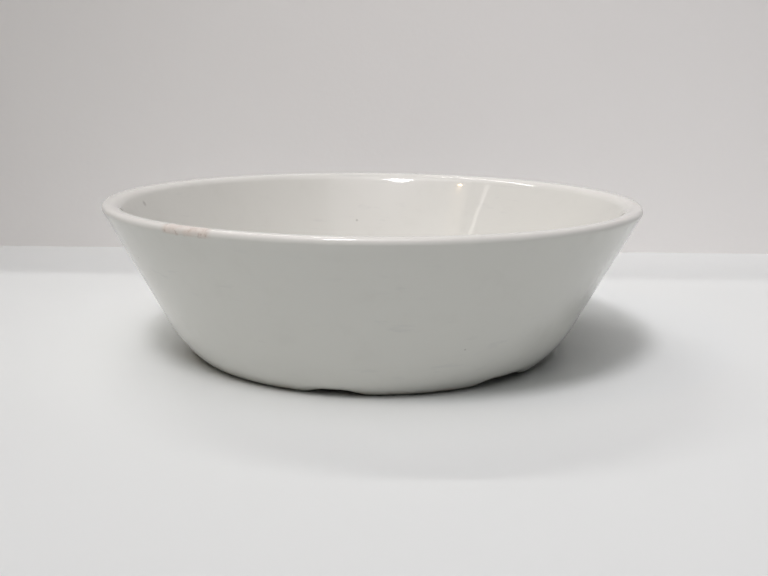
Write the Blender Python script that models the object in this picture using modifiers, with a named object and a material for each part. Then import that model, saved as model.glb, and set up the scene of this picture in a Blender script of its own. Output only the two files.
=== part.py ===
"""Flat-bottomed porcelain evaporating dish, 200 mm across the rim, for Blender 4.5.

The dish is one fired piece on the bench. It is modelled as the four bodies of material that it is made
of: the clay bowl, the clay foot ring that it stands on, the glaze coat that runs from the middle of the
inside over the lip to just above the foot, and the separate patch of glaze under the floor, inside the
foot. Six shallow notches in the foot let air and steam out from under the dish.

Metres, +Z up. The origin is on the table, on the dish's axis.
"""

from math import asin, cos, pi, radians, sin, tau

import bmesh
import bpy
from mathutils import Matrix, Vector

# Overall sizes
RIM_RADIUS = 0.100
HEIGHT = 0.057
WALL = 0.006
FLOOR_TOP = 0.009

# Outer side, from the lip down. Leans are measured from the vertical.
LIP_OUTER_ROUND = 0.0016
FLANK_LEAN = radians(27.5)
BEND_RADIUS = 0.045
BEND_LEAN = radians(47)
CORNER_RADIUS = 0.004
FOOT_LEAN = radians(78)
GLAZE_END_LEAN = radians(70)

# Inside
LIP_INNER_ROUND = 0.005
INNER_CORNER_RADIUS = 0.016

# Foot and underside
FOOT_WIDTH = 0.0055
FOOT_DRAFT = 0.0003
FOOT_EDGE = 0.0005
RECESS = 0.0028

# The notches were cut by hand, so they differ a little: angle in degrees, width, depth
NOTCHES = [
    (-168, 0.021, 0.0015),
    (-99.7, 0.022, 0.0016),
    (-49, 0.028, 0.0022),
    (14, 0.022, 0.0016),
    (73, 0.024, 0.0018),
    (132, 0.021, 0.0015),
]

# Layers: the glaze, and the running gap that separate bodies keep
GLAZE = 0.0004
GAP = 0.0003
BISCUIT_INSET = GLAZE + GAP

# Facets
TURN_STEPS = 72
MERGE = 0.00001
SMOOTH_ANGLE = radians(30)


def outward(lean):
    """Unit normal, as (r, z), of an outer face that leans out from the vertical by this much."""
    return Vector((cos(lean), -sin(lean)))


def arc(centre, radius, start, end, steps):
    """Points of a circular arc in the (r, z) plane, both ends included."""
    angles = [start + (end - start) * i / steps for i in range(steps + 1)]
    return [centre + radius * Vector((cos(a), sin(a))) for a in angles]


# Centres of the profile's arcs, worked out downwards from the lip so that every arc meets its
# neighbours without a kink.
FLANK_NORMAL = outward(FLANK_LEAN)
LIP_OUTER_CENTRE = Vector((RIM_RADIUS - LIP_OUTER_ROUND, HEIGHT - LIP_OUTER_ROUND))
FLANK_TOP = LIP_OUTER_CENTRE + LIP_OUTER_ROUND * FLANK_NORMAL
BEND_HEIGHT = BEND_RADIUS * (sin(BEND_LEAN) - sin(FLANK_LEAN))
CORNER_HEIGHT = CORNER_RADIUS * (sin(FOOT_LEAN) - sin(BEND_LEAN))
FLANK_LENGTH = (FLANK_TOP.y - BEND_HEIGHT - CORNER_HEIGHT) / cos(FLANK_LEAN)
FLANK_BOTTOM = FLANK_TOP - FLANK_LENGTH * Vector((sin(FLANK_LEAN), cos(FLANK_LEAN)))
BEND_CENTRE = FLANK_BOTTOM - BEND_RADIUS * FLANK_NORMAL
CORNER_CENTRE = BEND_CENTRE + (BEND_RADIUS - CORNER_RADIUS) * outward(BEND_LEAN)
FOOT_RADIUS = CORNER_CENTRE.x + CORNER_RADIUS * cos(FOOT_LEAN)


def inner_radius(depth, height):
    """Radius at this height of the line that runs parallel to the flank, this far inside it."""
    return FLANK_TOP.x + ((height - FLANK_TOP.y) * sin(FLANK_LEAN) - depth) / cos(FLANK_LEAN)


LIP_INNER_HEIGHT = HEIGHT - LIP_INNER_ROUND
LIP_INNER_CENTRE = Vector((inner_radius(WALL - LIP_INNER_ROUND, LIP_INNER_HEIGHT), LIP_INNER_HEIGHT))
HOLLOW_HEIGHT = FLOOR_TOP + INNER_CORNER_RADIUS
HOLLOW_CENTRE = Vector((inner_radius(WALL + INNER_CORNER_RADIUS, HOLLOW_HEIGHT), HOLLOW_HEIGHT))


def inside_to_lip(inset):
    """The face from the middle of the inner floor to the lip's top, set this far into the material."""
    return [
        Vector((0, FLOOR_TOP - inset)),
        *arc(HOLLOW_CENTRE, INNER_CORNER_RADIUS + inset, -pi / 2, -FLANK_LEAN, 6),
        *arc(LIP_INNER_CENTRE, LIP_INNER_ROUND - inset, pi - FLANK_LEAN, pi / 2, 5),
    ]


def lip_to_bend(inset, end_lean):
    """The face from the lip's top down the flank, as far into the bend as this lean."""
    return [
        *arc(LIP_OUTER_CENTRE, LIP_OUTER_ROUND - inset, pi / 2, -FLANK_LEAN, 5),
        *arc(BEND_CENTRE, BEND_RADIUS - inset, -FLANK_LEAN, -end_lean, 4),
    ]


def bend_lean_at(inset, height):
    """The lean that the bend, set this far in, has reached at this height."""
    return asin((BEND_CENTRE.y - height) / (BEND_RADIUS - inset))


def corner(inset, end_lean):
    """The tight corner between the bend and the foot, down to this lean."""
    return arc(CORNER_CENTRE, CORNER_RADIUS - inset, -BEND_LEAN, -end_lean, 4)[1:]


def ceramic(name, colour, roughness):
    """A Principled material."""
    material = bpy.data.materials.new(name)
    material.use_nodes = True
    shader = material.node_tree.nodes["Principled BSDF"]
    shader.inputs["Base Color"].default_value = (*colour, 1)
    shader.inputs["Roughness"].default_value = roughness
    shader.inputs["Metallic"].default_value = 0
    return material


def turned(name, profile, material, collection, closed=False):
    """A body turned about the Z axis from a profile of (r, z) points that runs down its outer side."""
    mesh = bpy.data.meshes.new(name)
    count = len(profile)
    edges = [(i, (i + 1) % count) for i in range(count if closed else count - 1)]
    mesh.from_pydata([(p.x, 0, p.y) for p in profile], edges, [])
    mesh.materials.append(material)
    body = bpy.data.objects.new(name, mesh)
    collection.objects.link(body)
    screw = body.modifiers.new("turn", "SCREW")
    screw.axis = "Z"
    screw.angle = tau
    screw.steps = TURN_STEPS
    screw.render_steps = TURN_STEPS
    screw.use_smooth_shade = True
    screw.use_merge_vertices = True
    screw.merge_threshold = MERGE
    return body


def bowl_body(material, collection):
    """The clay bowl: floor, wall and lip, set in by the thickness of the glaze."""
    underside = RECESS + BISCUIT_INSET
    profile = [
        *inside_to_lip(BISCUIT_INSET),
        *lip_to_bend(BISCUIT_INSET, bend_lean_at(BISCUIT_INSET, underside)),
        Vector((0, underside)),
    ]
    return turned("bowl_body", profile, material, collection)


def foot_ring(material, collection):
    """The unglazed ring that the dish stands on. Its flat face is the only one that touches the table."""
    top = RECESS + GLAZE
    shoulder = arc(BEND_CENTRE, BEND_RADIUS - BISCUIT_INSET, -bend_lean_at(BISCUIT_INSET, top), -BEND_LEAN, 1)
    inner_edge = FOOT_RADIUS - FOOT_WIDTH
    profile = [
        *shoulder,
        *corner(BISCUIT_INSET, GLAZE_END_LEAN),
        Vector((FOOT_RADIUS - FOOT_EDGE, 0)),
        Vector((inner_edge, 0)),
        Vector((inner_edge - FOOT_DRAFT, top)),
    ]
    return turned("foot_ring", profile, material, collection, closed=True)


def glaze_coat(material, collection):
    """The coat of glaze over the inside, the lip and the outside, down to a line just above the foot."""
    face = [
        *inside_to_lip(0),
        *lip_to_bend(0, BEND_LEAN),
        *corner(0, GLAZE_END_LEAN),
    ]
    back = [
        *inside_to_lip(GLAZE),
        *lip_to_bend(GLAZE, BEND_LEAN),
        *corner(GLAZE, GLAZE_END_LEAN),
    ]
    return turned("glaze_coat", [*face, *reversed(back)], material, collection)


def base_glaze(material, collection):
    """The disc of glaze on the recessed underside of the floor, inside the foot ring."""
    mesh = bpy.data.meshes.new("base_glaze")
    disc = bmesh.new()
    radius = FOOT_RADIUS - FOOT_WIDTH - FOOT_DRAFT - GAP
    bmesh.ops.create_cone(
        disc, cap_ends=True, cap_tris=True, segments=TURN_STEPS, radius1=radius, radius2=radius, depth=GLAZE
    )
    disc.to_mesh(mesh)
    disc.free()
    mesh.materials.append(material)
    body = bpy.data.objects.new("base_glaze", mesh)
    body.location.z = RECESS + GLAZE / 2
    collection.objects.link(body)
    mesh.shade_smooth()
    mesh.set_sharp_from_angle(angle=SMOOTH_ANGLE)
    return body


def notch_cutter(index, angle, width, depth, collection):
    """A roller lying along a radius of the dish. Only its crown stands above the table."""
    radius = (width**2 / 4 + depth**2) / (2 * depth)
    length = 4 * FOOT_WIDTH
    mesh = bpy.data.meshes.new(f"notch_cutter_{index}")
    roller = bmesh.new()
    bmesh.ops.create_cone(roller, cap_ends=True, segments=128, radius1=radius, radius2=radius, depth=length)
    roller.to_mesh(mesh)
    roller.free()
    cutter = bpy.data.objects.new(mesh.name, mesh)
    lying = Matrix.Rotation(pi / 2, 4, "Y")
    place = Matrix.Translation((FOOT_RADIUS, 0, depth - radius))
    cutter.matrix_world = Matrix.Rotation(radians(angle), 4, "Z") @ place @ lying
    cutter.hide_render = True
    cutter.display_type = "WIRE"
    collection.objects.link(cutter)
    return cutter


def cut(body, cutters):
    """Takes each cutter out of the body."""
    for cutter in cutters:
        notch = body.modifiers.new(cutter.name, "BOOLEAN")
        notch.operation = "DIFFERENCE"
        notch.solver = "EXACT"
        notch.object = cutter


def new_collection(name):
    collection = bpy.data.collections.new(name)
    bpy.context.scene.collection.children.link(collection)
    return collection


def main():
    for obj in list(bpy.data.objects):
        bpy.data.objects.remove(obj)
    dish = new_collection("evaporating_dish")
    cutters = new_collection("cutters")

    biscuit = ceramic("biscuit_porcelain", (0.80, 0.77, 0.71), 0.8)
    glaze = ceramic("white_glaze", (0.79, 0.79, 0.76), 0.1)

    bowl_body(biscuit, dish)
    ring = foot_ring(biscuit, dish)
    coat = glaze_coat(glaze, dish)
    base_glaze(glaze, dish)

    notches = [notch_cutter(i, *notch, cutters) for i, notch in enumerate(NOTCHES, 1)]
    cut(ring, notches)
    cut(coat, notches)


main()
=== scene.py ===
"""Looks of the flat-bottomed porcelain evaporating dish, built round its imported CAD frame.

The three bodies of the dish that show are made again here at full smoothness, each in place of its CAD
node: the glaze coat, the foot ring and the patch of glaze under the floor. The clay bowl inside the glaze
keeps its CAD shape. Everything is in metres, with +Z up and the origin on the floor, on the dish's axis.
"""

from math import asin, atan, cos, pi, radians, sin, tan, tau

import bpy
import numpy as np
from mathutils import Matrix, Vector, noise


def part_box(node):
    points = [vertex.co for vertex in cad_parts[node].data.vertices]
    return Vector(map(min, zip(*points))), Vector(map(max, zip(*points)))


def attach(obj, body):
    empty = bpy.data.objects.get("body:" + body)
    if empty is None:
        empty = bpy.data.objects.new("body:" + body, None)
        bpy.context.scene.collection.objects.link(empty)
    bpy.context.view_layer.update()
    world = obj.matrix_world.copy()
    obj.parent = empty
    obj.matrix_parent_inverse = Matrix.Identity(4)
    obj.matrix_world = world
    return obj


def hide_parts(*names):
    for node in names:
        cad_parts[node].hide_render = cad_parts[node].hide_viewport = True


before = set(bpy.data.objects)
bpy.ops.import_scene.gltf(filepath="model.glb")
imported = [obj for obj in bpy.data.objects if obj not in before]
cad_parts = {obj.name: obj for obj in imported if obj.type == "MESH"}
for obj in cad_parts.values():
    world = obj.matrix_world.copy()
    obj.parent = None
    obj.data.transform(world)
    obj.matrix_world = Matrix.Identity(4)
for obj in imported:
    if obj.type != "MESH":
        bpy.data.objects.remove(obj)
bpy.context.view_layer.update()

# ---------------------------------------------------------------- the dish's outline

# Sizes that the frame gives
GLAZE_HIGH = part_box("glaze_coat")[1]
FOOT_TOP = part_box("foot_ring")[1].z
PATCH_LOW, PATCH_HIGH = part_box("base_glaze")
RIM_RADIUS = GLAZE_HIGH.x
HEIGHT = GLAZE_HIGH.z
PATCH_RADIUS = PATCH_HIGH.x

# Sizes of the outline between them. Leans are measured from the vertical.
WALL = 0.006
FLOOR_TOP = 0.009
LIP_OUTER_ROUND = 0.0016
FLANK_LEAN = radians(27.5)
BEND_RADIUS = 0.045
BEND_LEAN = radians(47)
CORNER_RADIUS = 0.004
FOOT_LEAN = radians(78)
GLAZE_END_LEAN = radians(75)
FOOT_BEVEL_LEAN = radians(70)
LIP_INNER_ROUND = 0.005
INNER_CORNER_RADIUS = 0.016
FOOT_WIDTH = 0.0055
FOOT_EDGE = 0.0005
FOOT_ROUND = 0.0004
FOOT_DRAFT = 0.0003
PATCH_FILLET = 0.0010
PATCH_INSET = 0.0016
GLAZE = 0.0004
GAP = 0.0003

# The innermost row of a turned face, round the small fan that closes it on the axis
AXIS_RADIUS = 0.002

# The hand-cut notches in the foot, with the CAD model's sizes: angle in degrees, width, depth
NOTCHES = [
    (-168, 0.021, 0.0015),
    (-99.7, 0.022, 0.0016),
    (-49, 0.028, 0.0022),
    (14, 0.022, 0.0016),
    (73, 0.024, 0.0018),
    (132, 0.021, 0.0015),
]

# How high the notches' lift reaches, and the part of their half width that the S-shaped ends take
NOTCH_REACH = 0.0045
NOTCH_END_SHARE = 0.75

# The glaze's lower edge wanders up and down by this much of the foot's corner
WANDER = radians(2)
WANDER_WAVES = 3
WANDER_SEED = 1.7

# Where the glaze stops a little higher and more of the foot's clay shows, and how much higher
BARE_ANGLE = radians(-160)
BARE_HALF = radians(34)
BARE_RISE = radians(9)

# How far the ware is out of round: an oval, a three-sided wave, and lumps
OVAL = 0.00006
THREE_SIDED = 0.00003
LUMP = 0.00005
LUMP_SIZE = 0.045

# How many steps the turned meshes take round the dish
TURN_STEPS = 360


def outward(lean):
    """Unit normal, as (r, z), of an outer face that leans out from the vertical by this much."""
    return np.array([cos(lean), -sin(lean)])


FLANK_NORMAL = outward(FLANK_LEAN)
LIP_OUTER_CENTRE = np.array([RIM_RADIUS - LIP_OUTER_ROUND, HEIGHT - LIP_OUTER_ROUND])
FLANK_TOP = LIP_OUTER_CENTRE + LIP_OUTER_ROUND * FLANK_NORMAL
BEND_HEIGHT = BEND_RADIUS * (sin(BEND_LEAN) - sin(FLANK_LEAN))
CORNER_HEIGHT = CORNER_RADIUS * (sin(FOOT_LEAN) - sin(BEND_LEAN))
FLANK_LENGTH = (FLANK_TOP[1] - BEND_HEIGHT - CORNER_HEIGHT) / cos(FLANK_LEAN)
FLANK_BOTTOM = FLANK_TOP - FLANK_LENGTH * np.array([sin(FLANK_LEAN), cos(FLANK_LEAN)])
BEND_CENTRE = FLANK_BOTTOM - BEND_RADIUS * FLANK_NORMAL
CORNER_CENTRE = BEND_CENTRE + (BEND_RADIUS - CORNER_RADIUS) * outward(BEND_LEAN)
FOOT_RADIUS = CORNER_CENTRE[0] + CORNER_RADIUS * cos(FOOT_LEAN)


def inner_radius(depth, height):
    """Radius at this height of the line that runs parallel to the flank, this far inside it."""
    return FLANK_TOP[0] + ((height - FLANK_TOP[1]) * sin(FLANK_LEAN) - depth) / cos(FLANK_LEAN)


LIP_INNER_HEIGHT = HEIGHT - LIP_INNER_ROUND
LIP_INNER_CENTRE = np.array([inner_radius(WALL - LIP_INNER_ROUND, LIP_INNER_HEIGHT), LIP_INNER_HEIGHT])
HOLLOW_HEIGHT = FLOOR_TOP + INNER_CORNER_RADIUS
HOLLOW_CENTRE = np.array([inner_radius(WALL + INNER_CORNER_RADIUS, HOLLOW_HEIGHT), HOLLOW_HEIGHT])

THETA = np.arange(TURN_STEPS) * tau / TURN_STEPS


# ---------------------------------------------------------------- turned meshes

# A section is an array of shape (rows, turn steps, 2): for each row of the outline and each angle round
# the dish, the radius and the height.


def arc(centre, radius, start, end, steps, skip_first=False):
    """Rows along an arc. radius, start and end may be numbers, or arrays with one value for each angle."""
    t = np.linspace(0, 1, steps + 1)[int(skip_first):, None]
    angle = start + (end - start) * t + np.zeros(TURN_STEPS)
    return np.stack([centre[0] + radius * np.cos(angle), centre[1] + radius * np.sin(angle)], axis=-1)


def line(start, end, steps):
    """Rows strictly between two rows or points."""
    t = np.linspace(0, 1, steps + 1)[1:-1, None, None]
    a = np.broadcast_to(np.asarray(start, float), (TURN_STEPS, 2))
    b = np.broadcast_to(np.asarray(end, float), (TURN_STEPS, 2))
    return a + (b - a) * t


def point_row(r, z):
    """One row at the same radius and height all the way round. r may be an array."""
    row = np.zeros((1, TURN_STEPS, 2))
    row[0, :, 0] = r
    row[0, :, 1] = z
    return row


def with_lines(blocks, steps):
    """Joins blocks of rows, with steps[i] straight steps between block i and the next."""
    joined = [blocks[0]]
    for block, count in zip(blocks[1:], steps):
        joined += [line(joined[-1][-1], block[0], count), block]
    return np.concatenate([b for b in joined if len(b)])


def fractal(points, scale, octaves, seed):
    """Smooth noise, about -1 to 1, at each point of an array. scale is the size of its largest waves."""
    offset = Vector((seed * 17.3, seed * -9.1, seed * 5.7))
    flat = points.reshape(-1, 3) / scale
    values = [noise.fractal(Vector(p) + offset, 1.0, 2.1, octaves) for p in flat]
    return np.array(values).reshape(points.shape[:-1])


def to_points(section):
    """A section's rows as points in space."""
    r, z = section[..., 0], section[..., 1]
    return np.stack([r * np.cos(THETA), r * np.sin(THETA), z], axis=-1)


def notch_lift():
    """How far the foot's edge is lifted at each angle: flat mid-notch, with S-shaped ends."""
    lift = np.zeros(TURN_STEPS)
    for angle, width, depth in NOTCHES:
        away = np.abs((THETA - radians(angle) + pi) % tau - pi) * FOOT_RADIUS / (width / 2)
        ease = np.clip((1 - away) / NOTCH_END_SHARE, 0, 1)
        lift = np.maximum(lift, depth * ease**2 * (3 - 2 * ease))
    return lift


LIFT = notch_lift()


def cut_notches(section):
    """Lifts the rows near the floor where the foot is notched. The lift fades out with height."""
    fade = np.clip(1 - section[..., 1] / NOTCH_REACH, 0, 1) ** 2
    lifted = section.copy()
    lifted[..., 1] += LIFT * fade
    return lifted


def out_of_round(section):
    """The faint ovalness and lumps of ware that was shaped on a wheel and warped a little in the kiln."""
    points = to_points(section)
    height = np.clip(section[..., 1] / HEIGHT, 0, 1)
    oval = OVAL * np.cos(2 * THETA + 0.7) + THREE_SIDED * np.cos(3 * THETA - 1.1)
    lumps = LUMP * fractal(points, LUMP_SIZE, octaves=2, seed=3)
    moved = section.copy()
    reach = np.clip(section[..., 0] / FOOT_RADIUS, 0, 1)
    moved[..., 0] += reach * height * (oval + lumps)
    moved[..., 1] += (1 - reach * height) * height * lumps
    return moved


def skin_faces(rows, closed):
    """Faces between the rows of a section. closed also joins its last row to its first."""
    faces = []
    n = TURN_STEPS
    for i in range(rows if closed else rows - 1):
        a, b = i * n, (i + 1) % rows * n
        faces += [(a + j, b + j, b + (j + 1) % n, a + (j + 1) % n) for j in range(n)]
    return faces


def turned(name, section, caps=True):
    """A closed mesh from a section. caps closes the first and the last row with a fan on the axis.
    Without it the last row joins the first, and the mesh is a ring."""
    rows = len(section)
    points = to_points(section).reshape(-1, 3)
    faces = skin_faces(rows, closed=not caps)
    if caps:
        top = len(points)
        ends = [points[:TURN_STEPS].mean(axis=0), points[-TURN_STEPS:].mean(axis=0)]
        points = np.concatenate([points, ends])
        last = (rows - 1) * TURN_STEPS
        for j in range(TURN_STEPS):
            k = (j + 1) % TURN_STEPS
            faces.append((top, j, k))
            faces.append((top + 1, last + k, last + j))
    mesh = bpy.data.meshes.new(name)
    mesh.from_pydata(points.tolist(), [], faces)
    mesh.validate()
    mesh.shade_smooth()
    piece = bpy.data.objects.new(name, mesh)
    bpy.context.scene.collection.objects.link(piece)
    return piece


# ---------------------------------------------------------------- node materials


class Nodes:
    """A node tree, with short calls for the nodes that the materials and the world below use."""

    def __init__(self, owner, coordinate="Object"):
        owner.use_nodes = True
        self.owner = owner
        self.tree = owner.node_tree
        self.place = self.add("ShaderNodeTexCoord").outputs[coordinate]
        xyz = self.add("ShaderNodeSeparateXYZ", Vector=self.place)
        self.x, self.y, self.z = xyz.outputs

    def put(self, socket, value):
        """Links an output to the socket, or sets the socket to a plain value."""
        if isinstance(value, bpy.types.NodeSocket):
            self.tree.links.new(value, socket)
        elif hasattr(value, "__len__") and len(value) == 3 and len(socket.default_value) == 4:
            socket.default_value = (*value, 1)
        else:
            socket.default_value = value

    def add(self, kind, settings=None, **inputs):
        node = self.tree.nodes.new(kind)
        for key, value in (settings or {}).items():
            setattr(node, key, value)
        for key, value in inputs.items():
            self.put(node.inputs[key.replace("_", " ")], value)
        return node

    def math(self, operation, a, b=0.0):
        node = self.add("ShaderNodeMath", {"operation": operation})
        for socket, value in zip(node.inputs, (a, b)):
            self.put(socket, value)
        return node.outputs[0]

    def times(self, *factors):
        product = factors[0]
        for factor in factors[1:]:
            product = self.math("MULTIPLY", product, factor)
        return product

    def ramp(self, value, low, high, to_low=0.0, to_high=1.0):
        """Smooth step from to_low, where value is at or under low, to to_high, at or over high."""
        node = self.add("ShaderNodeMapRange", {"interpolation_type": "SMOOTHSTEP"})
        for socket, number in zip(node.inputs, (value, low, high, to_low, to_high)):
            self.put(socket, number)
        return node.outputs[0]

    def window(self, value, middle, half, soft):
        """1 within half of middle, falling to 0 over soft."""
        away = self.math("ABSOLUTE", self.math("SUBTRACT", value, middle))
        return self.ramp(away, half, half + soft, 1.0, 0.0)

    def noise(self, size, detail=2.0, roughness=0.5, stretch=None, distortion=0.0):
        """Noise from 0 to 1. size is the size of its largest blots in metres."""
        place = self.place
        if stretch:
            place = self.add("ShaderNodeMapping", Vector=place, Scale=stretch).outputs[0]
        node = self.add("ShaderNodeTexNoise", Vector=place, Scale=1 / size)
        self.put(node.inputs["Detail"], detail)
        self.put(node.inputs["Roughness"], roughness)
        self.put(node.inputs["Distortion"], distortion)
        return node.outputs["Fac"]

    def specks(self, spacing, radius, share):
        """Small round specks. share is the part of a grid's cells that have one."""
        cells = self.add("ShaderNodeTexVoronoi", Vector=self.place, Scale=1 / spacing, Randomness=1.0)
        chance = self.add("ShaderNodeSeparateColor", Color=cells.outputs["Color"])
        size = self.math("MULTIPLY", chance.outputs[1], radius / spacing)
        spot = self.math("LESS_THAN", cells.outputs["Distance"], size)
        return self.times(spot, self.math("LESS_THAN", chance.outputs[0], share))

    def spot(self, place, radius, soft):
        """1 within radius of a place, falling to 0 over soft."""
        away = self.add("ShaderNodeVectorMath", {"operation": "DISTANCE"})
        self.put(away.inputs[0], self.place)
        self.put(away.inputs[1], place)
        return self.ramp(away.outputs["Value"], radius, radius + soft, 1.0, 0.0)

    def mix(self, factor, a, b):
        node = self.add("ShaderNodeMix", {"data_type": "RGBA", "clamp_factor": True})
        self.put(node.inputs["Factor"], factor)
        self.put(node.inputs[6], a)
        self.put(node.inputs[7], b)
        return node.outputs[2]

    def bump(self, height, distance, normal=None):
        node = self.add("ShaderNodeBump", Height=height, Distance=distance, Strength=1.0)
        if normal is not None:
            self.put(node.inputs["Normal"], normal)
        return node.outputs[0]

    def either(self, factor, a, b):
        """Shader a where the factor is 0, and b where it is 1."""
        node = self.add("ShaderNodeMixShader", Fac=factor)
        self.tree.links.new(a, node.inputs[1])
        self.tree.links.new(b, node.inputs[2])
        return node.outputs[0]

    def show(self, shader):
        """Makes this shader the tree's result."""
        output = next(node for node in self.tree.nodes if node.type.startswith("OUTPUT"))
        self.tree.links.new(shader, output.inputs["Surface"])

    def finish(self, colour, roughness, normal):
        """Sets the Principled shader, and returns the material."""
        shader = self.tree.nodes["Principled BSDF"]
        self.put(shader.inputs["Base Color"], colour)
        self.put(shader.inputs["Roughness"], roughness)
        self.put(shader.inputs["Normal"], normal)
        return self.owner


def material_nodes(name):
    return Nodes(bpy.data.materials.new(name))


# Base colours
GLAZE_DEEP = (0.735, 0.737, 0.69)
GLAZE_PALE = (0.765, 0.767, 0.72)
GLAZE_CLOUD = (0.66, 0.66, 0.61)
# Painted highlight: the lighter colour painted along the top of the lip
LIP_PAINTED_LIGHT = (0.815, 0.81, 0.765)
STAIN_TINT = (0.70, 0.60, 0.52)
STAIN_FLECK = (0.40, 0.29, 0.23)
# Darker brown mixed in along the glaze's lower edge near the floor, and up the flank on one side
LOW_EDGE_BROWN = (0.50, 0.37, 0.29)
IRON = (0.27, 0.26, 0.23)
SCUFF = (0.52, 0.53, 0.53)
TOOL_MARK = (0.35, 0.35, 0.36)
BISCUIT_DEEP = (0.66, 0.60, 0.51)
BISCUIT_PALE = (0.78, 0.74, 0.66)
# Darker brown mixed into the bare clay within a millimetre or two of the floor
FOOT_LOW_BROWN = (0.30, 0.19, 0.13)
BISCUIT_SPECK = (0.25, 0.18, 0.13)
BOARD_DEEP = (0.755, 0.783, 0.77)
BOARD_PALE = (0.785, 0.813, 0.80)
PAINT_DEEP = (0.93, 0.92, 0.90)
PAINT_PALE = (0.96, 0.95, 0.93)

# Where the lip is stained, and where the brown along the glaze's lower edge reaches up the flank
STAIN_ANGLE = radians(-123.5)
STAIN_HALF = radians(4.2)
STAIN_SOFT = radians(2.2)
SMEAR_ANGLE = radians(-165)
SMEAR_HALF = radians(10)

# The brown along the lower edge fades out between these radii, so that none of it shows on the glaze
# underneath
BROWN_INNER = 0.062
BROWN_OUTER = 0.064

# Iron specks that have a place: where they are and how large
FLAWS = [
    (Vector((-0.0908, 0.0120, 0.0519)), 0.0010),
    (Vector((-0.0087, 0.0829, 0.0360)), 0.0005),
    (Vector((0.0302, -0.0747, 0.0178)), 0.0003),
]

# Roughness of the clean gloss, and what smudges and wear add to it
GLOSS_ROUGHNESS = 0.045
SMUDGE_ROUGHNESS = 0.06
WORN_ROUGHNESS = 0.25
BOARD_ROUGHNESS = 0.55
PAINT_ROUGHNESS = 0.8

# Depths of the bumps in the surfaces, and the pitch of the turning rings in the bare clay
WAVE_DEPTH = 0.00006
PEEL_DEPTH = 0.000006
PIT_DEPTH = 0.00008
RING_DEPTH = 0.000012
RING_PITCH = 0.0006
GRAIN_DEPTH = 0.00006
BOARD_DEPTH = 0.00002
PAINT_DEPTH = 0.0001

# How much of the light soaks into the floor board, and how far
BOARD_SOAK = 0.7
BOARD_SOAK_REACH = 0.004


def round_axis(n):
    """The angle round the dish's axis and the distance from it."""
    angle = n.math("ARCTAN2", n.y, n.x)
    radius = n.math("SQRT", n.math("ADD", n.times(n.x, n.x), n.times(n.y, n.y)))
    return angle, radius


def lip_stain(n, angle, radius):
    """The stained stretch of the lip, from its top a little way down its outer side."""
    stretch = n.window(angle, STAIN_ANGLE, STAIN_HALF, STAIN_SOFT)
    height = n.window(n.z, HEIGHT - 0.0006, 0.0014, 0.0012)
    outside = n.ramp(radius, RIM_RADIUS - 0.0045, RIM_RADIUS - 0.002)
    return n.times(stretch, height, outside)


def low_edge_brown(n, angle, radius):
    """Patchy brown darkening along the glaze's lower edge near the floor, reaching up the flank on one
    side.
    """
    low_edge = n.times(n.ramp(n.z, 0.0008, 0.0024, 1.0, 0.0), n.ramp(n.noise(0.012, 4, 0.65), 0.35, 0.7))
    one_side = n.window(angle, SMEAR_ANGLE, SMEAR_HALF, SMEAR_HALF)
    low = n.ramp(n.z, 0.001, 0.006, 1.0, 0.0)
    smear = n.times(one_side, low, n.ramp(n.noise(0.004, 3), 0.3, 0.7, 0.2, 1.0))
    outside = n.ramp(radius, BROWN_INNER, BROWN_OUTER)
    return n.times(n.math("MAXIMUM", low_edge, smear), outside, 0.55)


def iron_specks(n):
    """Sparse small specks anywhere, and the few larger ones that have a place."""
    iron = n.times(n.specks(0.016, 0.0003, 0.18), 0.6)
    for place, size in FLAWS:
        iron = n.math("MAXIMUM", iron, n.times(n.spot(place, size * 0.4, size * 1.3), 0.42))
    return iron


def tool_marks(n, radius):
    """Fine broken lines that spatulas and rods have left low on the inside."""
    slant = n.math("SUBTRACT", radius, n.times(n.z, tan(FLANK_LEAN)))
    inside = n.ramp(slant, inner_radius(WALL - 0.0005, 0), inner_radius(WALL - 0.0015, 0), 1.0, 0.0)
    low = n.ramp(n.z, 0.012, 0.03, 1.0, 0.0)
    waves = n.noise(0.05, 1, 0.4, (1, 3, 1), 1.5)
    lines = n.math("LESS_THAN", n.math("ABSOLUTE", n.math("SUBTRACT", waves, 0.5)), 0.0025)
    broken = n.ramp(n.noise(0.012, 2), 0.5, 0.62)
    return n.times(lines, broken, inside, low)


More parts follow.
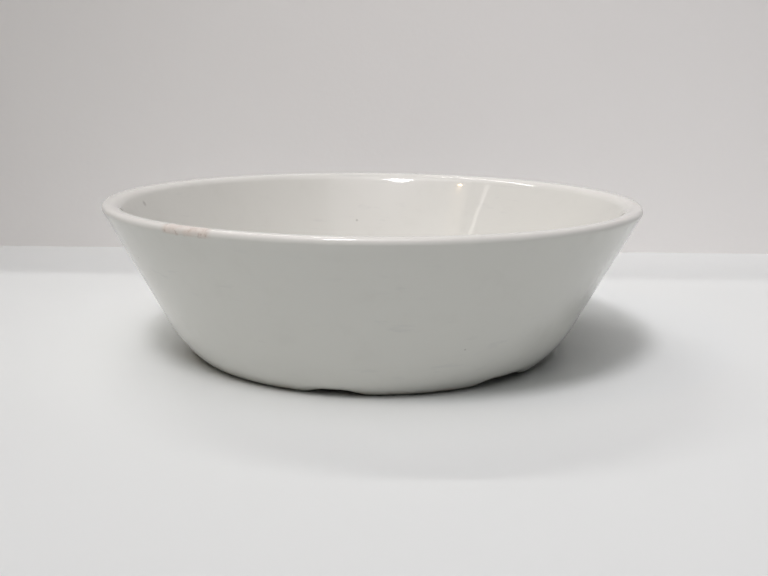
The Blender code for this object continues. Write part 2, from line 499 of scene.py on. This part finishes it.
def white_glaze(name):
    """Gloss glaze over white clay: slow mottling, specks, pinholes, a stained stretch of lip, a painted
    highlight along the lip's top, and wear.
    """
    n = material_nodes(name)
    angle, radius = round_axis(n)

    colour = n.mix(n.noise(0.06, 3), GLAZE_DEEP, GLAZE_PALE)
    colour = n.mix(n.ramp(n.noise(0.012, 4, 0.6), 0.5, 0.8, 0.0, 0.25), colour, GLAZE_CLOUD)

    # Painted highlight: the top edge of the lip is painted lighter, in patches, for the brightness that
    # light falling on it gives
    edge = n.ramp(n.z, HEIGHT - 0.0018, HEIGHT - 0.0004)
    lip = n.times(edge, n.ramp(n.noise(0.01, 3), 0.3, 0.7, 0.4, 0.7))
    colour = n.mix(lip, colour, LIP_PAINTED_LIGHT)

    # The stain is a pink-brown tint with darker flecks in it
    stain = lip_stain(n, angle, radius)
    patchy = n.ramp(n.noise(0.005, 3, 0.6), 0.3, 0.6, 0.15, 0.6)
    colour = n.mix(n.times(stain, patchy), colour, STAIN_TINT)
    flecks = n.ramp(n.noise(0.0022, 3, 0.6), 0.52, 0.64)
    fading = n.ramp(n.z, HEIGHT - 0.0024, HEIGHT - 0.0004, 1.0, 0.35)
    colour = n.mix(n.times(stain, flecks, fading, 0.6), colour, STAIN_FLECK)

    # Darker and browner towards the glaze's lower edge, and up the flank on one side
    colour = n.mix(low_edge_brown(n, angle, radius), colour, LOW_EDGE_BROWN)
    iron = iron_specks(n)
    colour = n.mix(iron, colour, IRON)

    # Faint grey scuffs round the outside
    round_about = n.noise(0.004, 3, 0.5, (0.35, 0.35, 1.6))
    scuffs = n.times(n.ramp(round_about, 0.60, 0.72), n.ramp(n.noise(0.03, 2), 0.45, 0.6), 0.15)
    colour = n.mix(scuffs, colour, SCUFF)

    marks = tool_marks(n, radius)
    colour = n.mix(n.times(marks, 0.25), colour, TOOL_MARK)

    # Smudges are a little duller than the gloss, and the stain and the marks much more so
    smudge = n.ramp(n.noise(0.03, 4, 0.65), 0.5, 0.75)
    roughness = n.math("ADD", n.times(smudge, SMUDGE_ROUGHNESS), GLOSS_ROUGHNESS)
    roughness = n.math("ADD", roughness, n.times(n.math("MAXIMUM", stain, marks), WORN_ROUGHNESS))

    # Slow waves, fine orange peel, and pits
    normal = n.bump(n.noise(0.02, 2), WAVE_DEPTH)
    normal = n.bump(n.noise(0.0022, 1), PEEL_DEPTH, normal)
    pinholes = n.specks(0.011, 0.0003, 0.25)
    normal = n.bump(n.math("SUBTRACT", 1.0, n.math("MAXIMUM", pinholes, iron)), PIT_DEPTH, normal)
    return n.finish(colour, roughness, normal)


def biscuit(name):
    """Fired clay with no glaze: matt, fine-grained, and darker and browner towards the floor."""
    n = material_nodes(name)
    radius = round_axis(n)[1]
    colour = n.mix(n.noise(0.02, 4, 0.6), BISCUIT_DEEP, BISCUIT_PALE)
    # Darker and browner towards the floor, in patches
    foot_low_brown = n.times(n.ramp(n.z, 0.0002, 0.0016, 1.0, 0.0), n.ramp(n.noise(0.007, 5, 0.7), 0.4, 0.65))
    colour = n.mix(n.times(foot_low_brown, 0.75), colour, FOOT_LOW_BROWN)
    colour = n.mix(n.times(n.specks(0.004, 0.0002, 0.3), 0.6), colour, BISCUIT_SPECK)
    rings = n.math("SINE", n.math("ADD", n.times(radius, tau / RING_PITCH), n.times(n.noise(0.004), 4)))
    normal = n.bump(rings, RING_DEPTH)
    normal = n.bump(n.noise(0.0012, 4, 0.7), GRAIN_DEPTH, normal)
    return n.finish(colour, n.ramp(n.noise(0.01), 0.3, 0.7, 0.72, 0.9), normal)


# ---------------------------------------------------------------- the dish's pieces


def glaze_section():
    """The glaze coat: its face from the middle of the inside over the lip to the foot, and its back."""
    w = WANDER_WAVES
    wander = np.array([noise.noise(Vector((w * cos(a), w * sin(a), WANDER_SEED))) for a in THETA])
    bare = np.clip(1 - np.abs((THETA - BARE_ANGLE + pi) % tau - pi) / BARE_HALF, 0, 1) ** 0.5
    end_lean = GLAZE_END_LEAN + WANDER * wander - BARE_RISE * bare

    def layer(inset):
        hollow = arc(HOLLOW_CENTRE, INNER_CORNER_RADIUS + inset, -pi / 2, -FLANK_LEAN, 14)
        lip_inner = arc(LIP_INNER_CENTRE, LIP_INNER_ROUND - inset, pi - FLANK_LEAN, pi / 2, 12)
        lip_outer = arc(LIP_OUTER_CENTRE, LIP_OUTER_ROUND - inset, pi / 2, -FLANK_LEAN, 10)
        bend = arc(BEND_CENTRE, BEND_RADIUS - inset, -FLANK_LEAN, -BEND_LEAN, 8)
        corner = arc(CORNER_CENTRE, CORNER_RADIUS - inset, -BEND_LEAN, -end_lean, 10, skip_first=True)
        centre = point_row(AXIS_RADIUS, FLOOR_TOP - inset)
        foot = np.concatenate([bend, corner])
        return with_lines([centre, hollow, lip_inner, lip_outer, foot], (16, 26, 2, 28))

    face, back = layer(0), layer(GLAZE)
    # The lower edge is rolled over in a half circle from the face to the back
    middle = (face[-1] + back[-1]) / 2
    outer = face[-1] - middle
    lower = np.stack([-np.sin(end_lean), -np.cos(end_lean)], axis=-1) * GLAZE / 2
    roll = [middle + outer * cos(a) + lower * sin(a) for a in np.linspace(0, pi, 7)[1:-1]]
    return np.concatenate([face, np.stack(roll), back[::-1]])


def foot_section():
    """The foot ring: shoulder, outer corner, ground contact face, and the inner side."""
    inset = GLAZE + GAP
    shoulder = BEND_RADIUS - inset
    lean_at_top = asin((BEND_CENTRE[1] - FOOT_TOP) / shoulder)
    inner = FOOT_RADIUS - FOOT_WIDTH
    outer = FOOT_RADIUS - FOOT_EDGE
    r = FOOT_ROUND
    blocks = [
        arc(BEND_CENTRE, shoulder, -lean_at_top, -BEND_LEAN, 4),
        arc(CORNER_CENTRE, CORNER_RADIUS - inset, -BEND_LEAN, -FOOT_BEVEL_LEAN, 8, skip_first=True),
        arc((outer - r, r), r, radians(-40), -pi / 2, 4),
        arc((inner + r, r), r, -pi / 2, -pi, 4),
        point_row(inner - FOOT_DRAFT, FOOT_TOP),
    ]
    return with_lines(blocks, (1, 2, 8, 6))


def patch_section():
    """The glaze under the floor. It thickens to a soft fillet where it meets the foot's inner side."""
    edge = PATCH_RADIUS - PATCH_INSET
    face = arc((edge, PATCH_LOW.z - PATCH_FILLET), PATCH_FILLET, pi / 2, radians(8), 8)
    low = with_lines([point_row(AXIS_RADIUS, PATCH_LOW.z), face], (24,))
    high = with_lines([point_row(PATCH_RADIUS, PATCH_HIGH.z), point_row(AXIS_RADIUS, PATCH_HIGH.z)], (24,))
    return np.concatenate([high[::-1], low[::-1]])[::-1]


def replace(piece, node, material):
    """Puts a piece in its CAD node's place."""
    piece.data.materials.append(material)
    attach(piece, "root")
    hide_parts(node)


glaze_material = white_glaze("white_glaze")
biscuit_material = biscuit("biscuit")

coat = turned("glaze_surface", out_of_round(cut_notches(glaze_section())))
replace(coat, "glaze_coat", glaze_material)
ring = turned("foot_surface", cut_notches(foot_section()), caps=False)
replace(ring, "foot_ring", biscuit_material)
patch = turned("base_glaze_surface", patch_section())
replace(patch, "base_glaze", glaze_material)

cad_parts["bowl_body"].material_slots[0].material = biscuit_material


# ---------------------------------------------------------------- stage, lights and camera

CAMERA_PLACE = Vector((0.0045, -0.3600, 0.0989))
CAMERA_PITCH = radians(12.18)
CAMERA_ROLL = radians(0.61)
CAMERA_LENS = 44.15
CAMERA_SENSOR = 36

BACKDROP_Y = 0.209
STAGE_HALF = 3.0
BACKDROP_HEIGHT = 0.2

# Lamps and bright parts of the room are placed by azimuth, which is 0 at the front, -Y, and grows
# towards +X, and by elevation, both in degrees. Distances are in metres.
KEY_FROM = (-18.5, 59.7)
KEY_DISTANCE = 1.5
KEY_SIZE = 0.30
KEY_POWER = 38
KEY_COLOUR = (1, 0.962, 0.99)
POOL_MIDDLE = Vector((0.12, 0.03, 0))
POOL_RADIUS = 0.50

# Small lamps, placed from the part of the inside that mirrors them to the camera
MIRROR_POINT = Vector((0.04, 0.083, 0.052))
WARM_FROM = (-55.5, 45.2)
WARM_SIZE = (0.03, 0.012)
WARM_POWER = 0.5
WARM_COLOUR = (1, 0.72, 0.35)
TUBE_ENDS = ((-73.5, 43), (-66.5, 38))
TUBE_WIDTH = 0.035
TUBE_POWER = 0.055
TUBE_COLOUR = (1, 0.98, 0.9)
STRIP_ENDS = ((-126, 50), (-170, 62))
STRIP_WIDTH = 0.04
STRIP_POWER = 3.2
STRIP_COLOUR = (1, 0.98, 0.96)
LAMP_DISTANCE = 1.5

# Bright parts of the room
WINDOW_FROM = (-19, 61)
WINDOW_FOCUS = 10.5
WINDOW_LEVEL = 3.1
WINDOW_SILL = 50
SILL_SOFT = 5
PANEL_SIDES = (-60, 31)
PANEL_ENDS = (40, 53)
PANEL_LEVEL = 0.65
GLOW_SIDES = (-61, -50)
GLOW_ENDS = (36, 48)
GLOW_LEVEL = 0.4
WALL_TOP = 60
WALL_SOFT = 5
WALL_LEVEL = 0.3
PLAIN_BACKGROUND = (0.54, 0.52, 0.49)


def stage_plane(name, corners, material):
    mesh = bpy.data.meshes.new(name)
    mesh.from_pydata(corners, [], [(0, 1, 2, 3)])
    mesh.materials.append(material)
    plane = bpy.data.objects.new(name, mesh)
    bpy.context.scene.collection.objects.link(plane)


def pale_floor():
    """White plastic board. Light soaks a few millimetres into it, so shadows stay pale at the contact."""
    n = material_nodes("pale_floor")
    shader = n.tree.nodes["Principled BSDF"]
    shader.inputs["Subsurface Weight"].default_value = BOARD_SOAK
    shader.inputs["Subsurface Radius"].default_value = (1, 1, 1)
    shader.inputs["Subsurface Scale"].default_value = BOARD_SOAK_REACH
    colour = n.mix(n.noise(0.25, 3), BOARD_DEEP, BOARD_PALE)
    return n.finish(colour, BOARD_ROUGHNESS, n.bump(n.noise(0.004, 3), BOARD_DEPTH))


def pale_backdrop():
    """Painted wall. It lets through what comes from behind it, so it hides nothing from a camera there."""
    n = material_nodes("pale_backdrop")
    colour = n.mix(n.noise(0.2, 3), PAINT_DEEP, PAINT_PALE)
    n.finish(colour, PAINT_ROUGHNESS, n.bump(n.noise(0.003, 3), PAINT_DEPTH))
    clear = n.add("ShaderNodeBsdfTransparent").outputs[0]
    behind = n.add("ShaderNodeNewGeometry").outputs["Backfacing"]
    n.show(n.either(behind, n.tree.nodes["Principled BSDF"].outputs[0], clear))
    return n.owner


def add_stage():
    s = STAGE_HALF
    stage_plane("floor", [(-s, -s, 0), (s, -s, 0), (s, s, 0), (-s, s, 0)], pale_floor())
    y, h = BACKDROP_Y, BACKDROP_HEIGHT
    stage_plane("backdrop", [(-s, y, 0), (s, y, 0), (s, y, h), (-s, y, h)], pale_backdrop())


def towards(azimuth, elevation):
    """Unit vector from the dish."""
    a, e = radians(azimuth), radians(elevation)
    return Vector((sin(a) * cos(e), -cos(a) * cos(e), sin(e)))


def add_lamp(name, data, place, aim=Vector(), along=None):
    """Puts a lamp at a place, facing another, with its long side level or along a direction."""
    lamp = bpy.data.objects.new(name, data)
    back = (place - aim).normalized()
    along = along or Vector((0, 0, 1)).cross(back)
    side = (along - back * along.dot(back)).normalized()
    turn = Matrix((side, back.cross(side), back)).transposed().to_4x4()
    lamp.matrix_world = Matrix.Translation(place) @ turn
    lamp.visible_camera = False
    bpy.context.scene.collection.objects.link(lamp)


def strip_light(name, ends, origin, width, power, colour):
    """A long flat lamp between two directions from a point."""
    start, end = (origin + LAMP_DISTANCE * towards(*e) for e in ends)
    data = bpy.data.lights.new(name, "AREA")
    data.shape = "RECTANGLE"
    data.size = (end - start).length
    data.size_y = width
    data.energy = power
    data.color = colour
    add_lamp(name, data, (start + end) / 2, along=end - start)


def add_lights():
    """The key lamp throws a pool of light with a wide soft edge. The other lamps are faint, and show
    mostly as highlights in the glaze."""
    key = bpy.data.lights.new("key_light", "SPOT")
    key.shadow_soft_size = KEY_SIZE / 2
    key.spot_size = 2 * atan(POOL_RADIUS / KEY_DISTANCE)
    key.spot_blend = 1
    key.energy = KEY_POWER
    key.color = KEY_COLOUR
    add_lamp("key_light", key, KEY_DISTANCE * towards(*KEY_FROM), POOL_MIDDLE)

    warm = bpy.data.lights.new("warm_light", "AREA")
    warm.shape = "ELLIPSE"
    warm.size, warm.size_y = WARM_SIZE
    warm.energy = WARM_POWER
    warm.color = WARM_COLOUR
    add_lamp("warm_light", warm, MIRROR_POINT + LAMP_DISTANCE * towards(*WARM_FROM))

    strip_light("tube_light", TUBE_ENDS, MIRROR_POINT, TUBE_WIDTH, TUBE_POWER, TUBE_COLOUR)
    strip_light("strip_light", STRIP_ENDS, Vector(), STRIP_WIDTH, STRIP_POWER, STRIP_COLOUR)


def sector(n, sides, ends, soft=1.5):
    """1 between two azimuths and between two elevations of the room, in degrees, with soft edges."""
    azimuth = n.math("ARCTAN2", n.x, n.times(n.y, -1))
    left, right = sides
    low, high = ends
    return n.times(
        n.ramp(azimuth, radians(left - soft), radians(left + soft)),
        n.ramp(azimuth, radians(right - soft), radians(right + soft), 1, 0),
        step_up(n, low, soft),
        step_down(n, high, soft),
    )


def step_up(n, elevation, soft):
    """0 below an elevation of the room and 1 above it, in degrees."""
    return n.ramp(n.z, sin(radians(elevation - soft)), sin(radians(elevation + soft)))


def step_down(n, elevation, soft):
    """1 below an elevation of the room and 0 above it, in degrees."""
    return n.ramp(n.z, sin(radians(elevation - soft)), sin(radians(elevation + soft)), 1, 0)


def add_world():
    """The room: a broad bright window high on the front left, a pale strip of ceiling under it, a faint
    warm glow, and the wall behind the dish. The camera itself sees a plain pale background."""
    world = bpy.data.worlds.new("room")
    bpy.context.scene.world = world
    n = Nodes(world, "Generated")
    facing = n.add("ShaderNodeVectorMath", {"operation": "DOT_PRODUCT"})
    n.put(facing.inputs[0], n.place)
    n.put(facing.inputs[1], towards(*WINDOW_FROM))
    window = n.math("EXPONENT", n.times(n.math("SUBTRACT", facing.outputs["Value"], 1), WINDOW_FOCUS))
    window = n.times(window, step_up(n, WINDOW_SILL, SILL_SOFT))
    panel = sector(n, PANEL_SIDES, PANEL_ENDS)
    glow = sector(n, GLOW_SIDES, GLOW_ENDS)
    wall = n.times(n.ramp(n.y, 0.1, 0.3), step_down(n, WALL_TOP, WALL_SOFT))
    level = n.math("ADD", n.times(window, WINDOW_LEVEL), n.times(panel, PANEL_LEVEL))
    level = n.math("ADD", level, n.times(wall, WALL_LEVEL))
    level = n.math("ADD", level, n.times(glow, GLOW_LEVEL))
    colour = n.mix(n.times(glow, GLOW_LEVEL / (GLOW_LEVEL + PANEL_LEVEL)), KEY_COLOUR, WARM_COLOUR)
    room = n.add("ShaderNodeBackground", Strength=level, Color=colour).outputs[0]
    plain = n.add("ShaderNodeBackground", Color=PLAIN_BACKGROUND).outputs[0]
    seen = n.add("ShaderNodeLightPath").outputs["Is Camera Ray"]
    n.show(n.either(seen, room, plain))


def add_camera():
    data = bpy.data.cameras.new("camera")
    data.lens = CAMERA_LENS
    data.sensor_width = CAMERA_SENSOR
    data.clip_start = 0.01
    camera = bpy.data.objects.new("camera", data)
    aim = Matrix.Rotation(pi / 2 - CAMERA_PITCH, 4, "X") @ Matrix.Rotation(CAMERA_ROLL, 4, "Z")
    camera.matrix_world = Matrix.Translation(CAMERA_PLACE) @ aim
    bpy.context.scene.collection.objects.link(camera)
    bpy.context.scene.camera = camera


add_stage()
add_lights()
add_world()
add_camera()
bpy.context.scene.view_settings.view_transform = "Standard"
